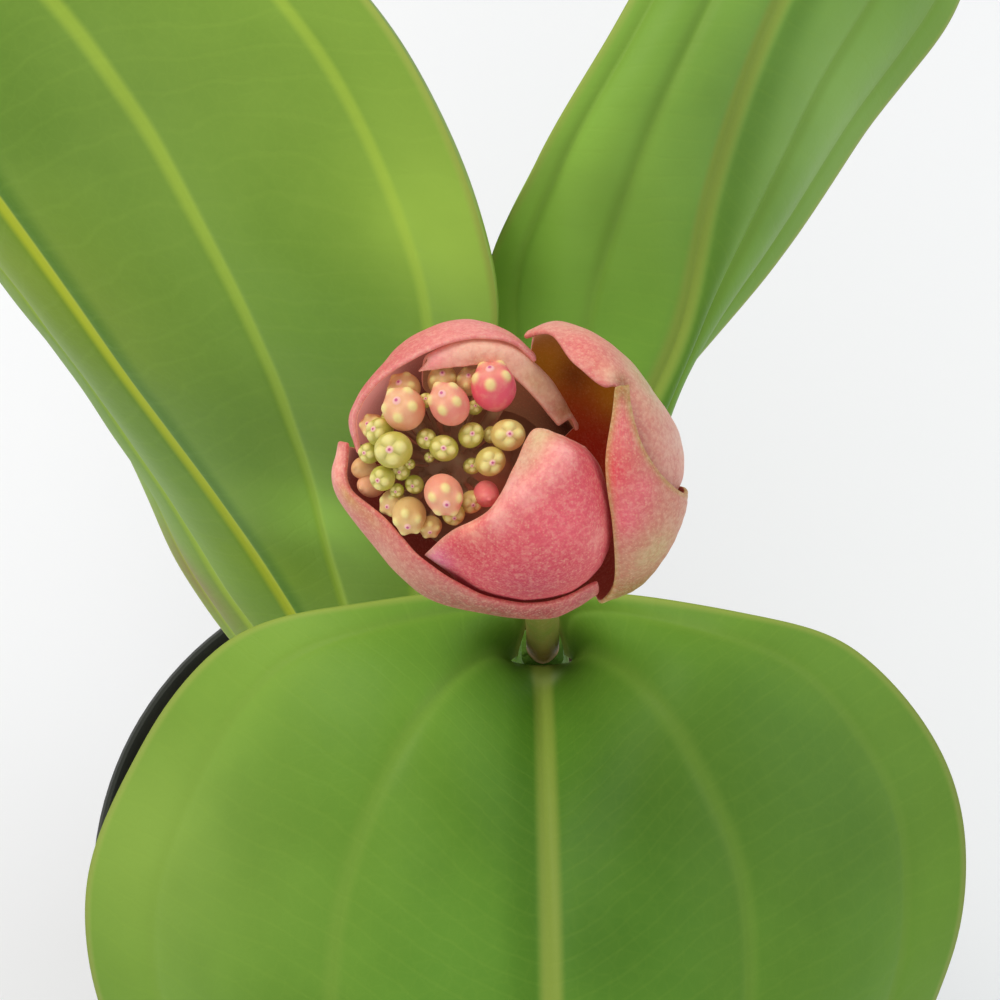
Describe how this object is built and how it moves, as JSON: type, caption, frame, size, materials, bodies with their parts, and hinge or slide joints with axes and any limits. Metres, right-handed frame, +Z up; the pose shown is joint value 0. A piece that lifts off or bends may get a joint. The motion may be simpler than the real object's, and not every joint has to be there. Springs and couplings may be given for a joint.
{
  "type": "young potted medinilla plant in bud",
  "caption": "Young medinilla in a plain round nursery pot: winged stem, broad veined leaves in opposite pairs and a pink bract bud opening on small green and pink flower buds.",
  "frame": {"origin": "middle of the pot's flat bottom, on the surface that the pot stands on", "axes": "+Z up along the pot's axis; the front leaf grows toward -Y, the upper right leaf toward +X and +Y, the left leaf toward -X and +Y"},
  "size_m": [0.2098, 0.2744, 0.3865],
  "materials": {
    "pot": "satin",
    "soil": "matte",
    "stem": "matte",
    "stalk": "matte",
    "leaf": "satin",
    "bract": "satin",
    "inner_bract": "satin",
    "buds": "satin"
  },
  "bodies": {
    "root": {"pot": "pot", "soil": "soil", "stem": "stem", "flower_stalk": "stalk", "leaf_front": "leaf", "leaf_upper_right": "leaf", "leaf_left": "leaf", "leaf_lower_right": "leaf", "bract_lower_left": "bract", "bract_upper_left": "bract", "bract_upper_right": "bract", "bract_lower_right": "bract", "bract_front": "bract", "bract_inner": "inner_bract", "flower_buds": "buds"}
  },
  "joints": []
}
